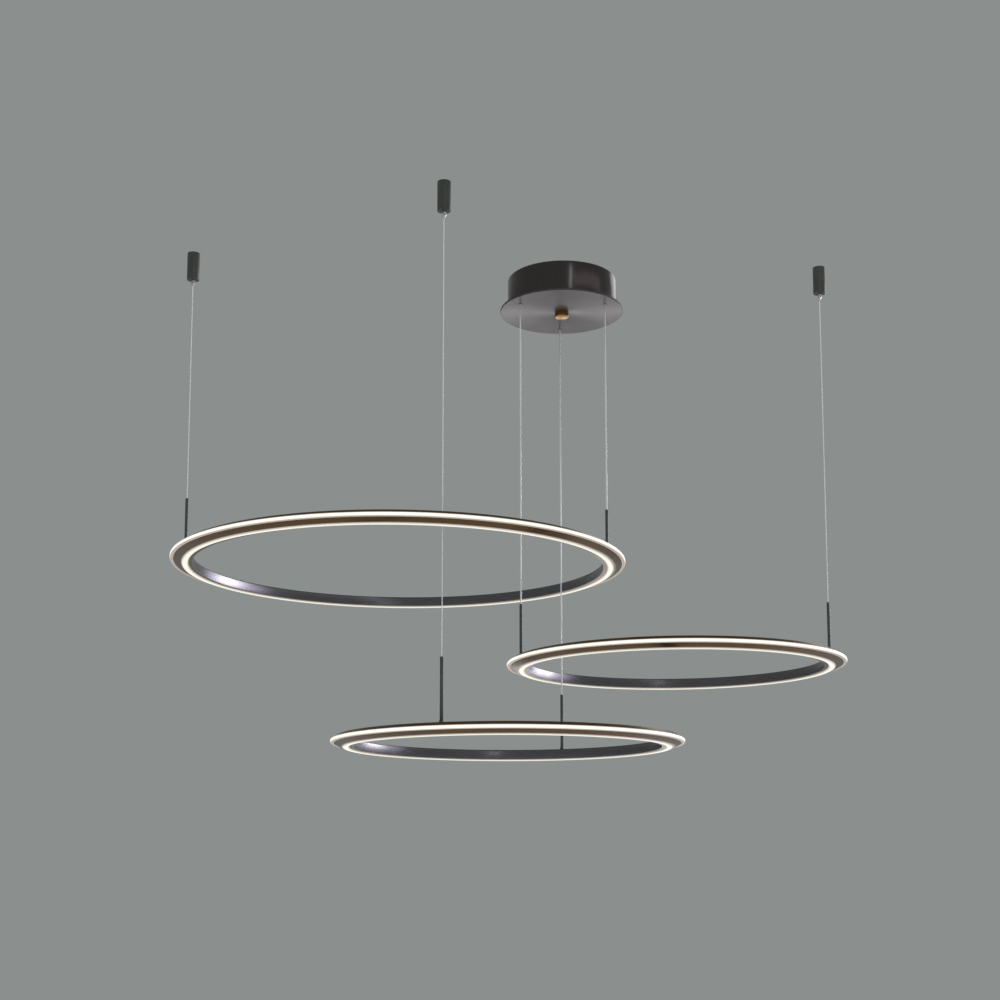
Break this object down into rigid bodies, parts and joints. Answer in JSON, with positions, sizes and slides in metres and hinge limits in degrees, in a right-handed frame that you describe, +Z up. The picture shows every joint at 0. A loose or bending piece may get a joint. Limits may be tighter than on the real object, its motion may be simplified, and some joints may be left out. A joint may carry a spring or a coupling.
{
  "type": "led ring chandelier",
  "caption": "Ceiling chandelier with glowing LED hoops hung level at stepped heights, each on a power cable from a round canopy and a steel wire from its own ceiling anchor.",
  "frame": {"origin": "centre of the canopy on the ceiling", "axes": "+Z up to the ceiling, +X to the right and +Y away from the viewer"},
  "size_m": [1.1905, 0.7998, 0.896],
  "materials": {
    "drum_gunmetal": "black nickel, satin",
    "plate_gunmetal": "black nickel, finely brushed",
    "brass_cap": "polished",
    "zinc_steel": "zinc plated",
    "driver_case": "moulded, fine grain",
    "terminal_nylon": "natural nylon",
    "gland_nylon": "moulded",
    "anchor_black": "satin black",
    "anchor_base_steel": "turned",
    "gripper_nickel": "nickel plated, satin",
    "spring_steel": "drawn wire",
    "hoop_bronze": "anodised dark bronze, brushed",
    "opal_side": "opal, lit from behind",
    "opal_bottom": "opal, lit from behind",
    "led_tape": "white flexible circuit",
    "rod_gunmetal": "black nickel, satin",
    "wire_end_brass": "turned",
    "clear_cable": "clear sheath over twisted tinned wires",
    "steel_wire": "laid steel strands"
  },
  "bodies": {
    "ceiling_mount": {"canopy_bracket": "zinc_steel", "canopy_stud": "zinc_steel", "canopy_stud_nuts": "zinc_steel", "canopy_drum": "drum_gunmetal", "canopy_plate": "plate_gunmetal", "cable_glands": "gland_nylon", "gland_screws": "zinc_steel", "driver_tray": "driver_case", "driver_lid": "driver_case", "terminal_block": "terminal_nylon", "upper_anchor_base": "anchor_base_steel", "middle_anchor_base": "anchor_base_steel", "lower_anchor_base": "anchor_base_steel"},
    "cap_nut": {"canopy_cap_nut": "brass_cap"},
    "upper_cup": {"upper_anchor_cup": "anchor_black", "upper_anchor_gripper": "gripper_nickel", "upper_anchor_spring": "spring_steel"},
    "upper_nose": {"upper_anchor_nose": "gripper_nickel"},
    "upper_lines": {"upper_ring_power_cable": "clear_cable", "upper_ring_steel_wire": "steel_wire"},
    "upper_ends": {"upper_ring_wire_ends": "wire_end_brass"},
    "upper_hoop": {"upper_ring_frame": "hoop_bronze", "upper_ring_side_diffuser": "opal_side", "upper_ring_bottom_diffuser": "opal_bottom", "upper_ring_side_tape": "led_tape", "upper_ring_bottom_tape": "led_tape", "upper_ring_rods": "rod_gunmetal", "upper_ring_rod_feet": "rod_gunmetal", "upper_ring_rod_nuts": "zinc_steel"},
    "middle_cup": {"middle_anchor_cup": "anchor_black", "middle_anchor_gripper": "gripper_nickel", "middle_anchor_spring": "spring_steel"},
    "middle_nose": {"middle_anchor_nose": "gripper_nickel"},
    "middle_lines": {"middle_ring_power_cable": "clear_cable", "middle_ring_steel_wire": "steel_wire"},
    "middle_ends": {"middle_ring_wire_ends": "wire_end_brass"},
    "middle_hoop": {"middle_ring_frame": "hoop_bronze", "middle_ring_side_diffuser": "opal_side", "middle_ring_bottom_diffuser": "opal_bottom", "middle_ring_side_tape": "led_tape", "middle_ring_bottom_tape": "led_tape", "middle_ring_rods": "rod_gunmetal", "middle_ring_rod_feet": "rod_gunmetal", "middle_ring_rod_nuts": "zinc_steel"},
    "lower_cup": {"lower_anchor_cup": "anchor_black", "lower_anchor_gripper": "gripper_nickel", "lower_anchor_spring": "spring_steel"},
    "lower_nose": {"lower_anchor_nose": "gripper_nickel"},
    "lower_lines": {"lower_ring_power_cable": "clear_cable", "lower_ring_steel_wire": "steel_wire"},
    "lower_ends": {"lower_ring_wire_ends": "wire_end_brass"},
    "lower_hoop": {"lower_ring_frame": "hoop_bronze", "lower_ring_side_diffuser": "opal_side", "lower_ring_bottom_diffuser": "opal_bottom", "lower_ring_side_tape": "led_tape", "lower_ring_bottom_tape": "led_tape", "lower_ring_rods": "rod_gunmetal", "lower_ring_rod_feet": "rod_gunmetal", "lower_ring_rod_nuts": "zinc_steel"}
  },
  "joints": [
    {"name": "cap_nut_turn", "type": "hinge", "parent": "ceiling_mount", "child": "cap_nut", "pos_m": [0, 0, -0.067], "axis": [0, 0, 1], "continuous": true},
    {"name": "upper_anchor_turn", "type": "hinge", "parent": "ceiling_mount", "child": "upper_cup", "pos_m": [-0.66624, -0.12979, -0.03], "axis": [0, 0, 1], "continuous": true},
    {"name": "upper_nose_press", "type": "slide", "parent": "upper_cup", "child": "upper_nose", "axis": [0, 0, 1], "range_m": [0, 0.0016], "stiffness_N_per_m": 400, "springref_m": -0.002, "deforming": ["upper_anchor_spring"]},
    {"name": "upper_swing", "type": "hinge", "parent": "ceiling_mount", "child": "upper_lines", "pos_m": [0.07794, -0.045, -0.061], "axis": [-0.9936, -0.1132, 0], "range_deg": [-1.2, 1.2]},
    {"name": "upper_height", "type": "slide", "parent": "upper_lines", "child": "upper_ends", "axis": [0, 0, 1], "range_m": [0, 0.25], "deforming": ["upper_ring_power_cable", "upper_ring_steel_wire"]},
    {"name": "upper_tilt", "type": "hinge", "parent": "upper_ends", "child": "upper_hoop", "pos_m": [-0.29415, -0.08739, -0.4545], "axis": [0.9936, 0.1132, 0], "range_deg": [-3, 3]},
    {"name": "middle_anchor_turn", "type": "hinge", "parent": "ceiling_mount", "child": "middle_cup", "pos_m": [0.47072, -0.06416, -0.03], "axis": [0, 0, 1], "continuous": true},
    {"name": "middle_nose_press", "type": "slide", "parent": "middle_cup", "child": "middle_nose", "axis": [0, 0, 1], "range_m": [0, 0.0016], "stiffness_N_per_m": 400, "springref_m": -0.002, "deforming": ["middle_anchor_spring"]},
    {"name": "middle_swing", "type": "hinge", "parent": "ceiling_mount", "child": "middle_lines", "pos_m": [-0.07794, -0.045, -0.061], "axis": [-0.9994, 0.0349, 0], "range_deg": [-1.2, 1.2]},
    {"name": "middle_height", "type": "slide", "parent": "middle_lines", "child": "middle_ends", "axis": [0, 0, 1], "range_m": [0, 0.12], "deforming": ["middle_ring_power_cable", "middle_ring_steel_wire"]},
    {"name": "middle_tilt", "type": "hinge", "parent": "middle_ends", "child": "middle_hoop", "pos_m": [0.19639, -0.05458, -0.6285], "axis": [0.9994, -0.0349, 0], "range_deg": [-3, 3]},
    {"name": "lower_anchor_turn", "type": "hinge", "parent": "ceiling_mount", "child": "lower_cup", "pos_m": [-0.20566, -0.41902, -0.03], "axis": [0, 0, 1], "continuous": true},
    {"name": "lower_nose_press", "type": "slide", "parent": "lower_cup", "child": "lower_nose", "axis": [0, 0, 1], "range_m": [0, 0.0016], "stiffness_N_per_m": 400, "springref_m": -0.002, "deforming": ["lower_anchor_spring"]},
    {"name": "lower_swing", "type": "hinge", "parent": "ceiling_mount", "child": "lower_lines", "pos_m": [0, 0.09, -0.061], "axis": [-0.3746, -0.9272, 0], "range_deg": [-1.2, 1.2]},
    {"name": "lower_height", "type": "slide", "parent": "lower_lines", "child": "lower_ends", "axis": [0, 0, 1], "range_m": [0, 0.1], "deforming": ["lower_ring_power_cable", "lower_ring_steel_wire"]},
    {"name": "lower_tilt", "type": "hinge", "parent": "lower_ends", "child": "lower_hoop", "pos_m": [-0.10283, -0.16451, -0.7765], "axis": [0.3746, 0.9272, 0], "range_deg": [-3, 3]}
  ]
}
